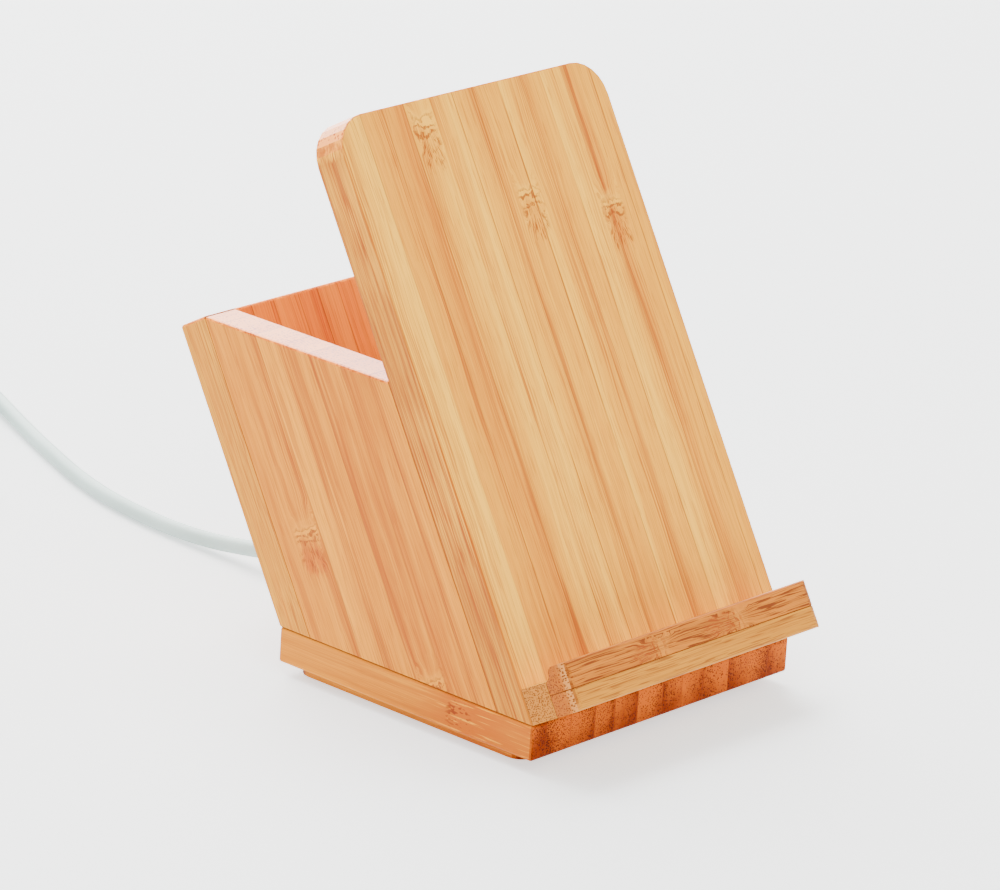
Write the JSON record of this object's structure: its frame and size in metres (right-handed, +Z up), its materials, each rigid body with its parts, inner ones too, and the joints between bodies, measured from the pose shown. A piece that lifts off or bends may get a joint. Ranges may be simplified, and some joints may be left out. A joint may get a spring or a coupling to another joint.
{
  "type": "wireless charger pen holder",
  "caption": "Leaning bamboo pen pot whose tall front board holds a charging coil; a phone stands on the ledge at its foot and a USB lead plugs into the back.",
  "frame": {"origin": "on the desk, under the middle of the stand's box without its lead", "axes": "+Z up, the phone's side faces -Y, +X is the stand's right side seen from the front"},
  "size_m": [0.0746, 0.2742, 0.1137],
  "materials": {
    "bamboo": "satin",
    "pale_bamboo": "satin",
    "zinc_steel": "satin",
    "bright_steel": "satin",
    "black_rubber": "matte",
    "enamelled_copper": "satin",
    "dark_ferrite": "matte",
    "green_board": "satin",
    "black_resin": "matte",
    "cord_plastic": "matte",
    "white_plastic": "gloss"
  },
  "bodies": {
    "stand": {"anti_slip_pad_1": "black_rubber", "anti_slip_pad_2": "black_rubber", "anti_slip_pad_3": "black_rubber", "anti_slip_pad_4": "black_rubber", "back_board": "bamboo", "base_slab": "bamboo", "board_screw_1": "zinc_steel", "board_screw_2": "zinc_steel", "board_screw_3": "zinc_steel", "board_screw_4": "zinc_steel", "bottom_plate": "bamboo", "charging_coil": "enamelled_copper", "coil_cover": "pale_bamboo", "coil_lead_inner": "enamelled_copper", "coil_lead_outer": "enamelled_copper", "control_chip": "black_resin", "driver_chip": "black_resin", "ferrite_shield": "dark_ferrite", "frame_screw_1": "zinc_steel", "frame_screw_2": "zinc_steel", "frame_screw_3": "zinc_steel", "frame_screw_4": "zinc_steel", "front_board": "bamboo", "inductor": "black_resin", "ledge_dowel_left": "pale_bamboo", "ledge_dowel_right": "pale_bamboo", "ledge_lip_lower": "bamboo", "ledge_lip_upper": "bamboo", "ledge_seat": "pale_bamboo", "left_side_board": "bamboo", "main_board": "green_board", "plate_screw_1": "zinc_steel", "plate_screw_2": "zinc_steel", "plate_screw_3": "zinc_steel", "plate_screw_4": "zinc_steel", "resonance_capacitor_1": "black_resin", "resonance_capacitor_2": "black_resin", "resonance_capacitor_3": "black_resin", "resonance_capacitor_4": "black_resin", "right_side_board": "bamboo", "usb_socket_shell": "bright_steel", "usb_socket_tongue": "black_resin"},
    "usb_lead": {"usb_c_plug_shell": "bright_steel", "usb_c_plug_body": "white_plastic", "plug_strain_relief": "white_plastic", "usb_cord": "cord_plastic", "cord_coil": "cord_plastic", "cord_tie": "black_rubber", "far_strain_relief": "white_plastic", "usb_a_plug_body": "white_plastic", "usb_a_plug_shell": "bright_steel", "usb_a_plug_tongue": "black_resin"}
  },
  "joints": [
    {"name": "usb_lead_pull", "type": "slide", "parent": "stand", "child": "usb_lead", "axis": [0, 1, 0], "range_m": [0, 0.012]}
  ]
}
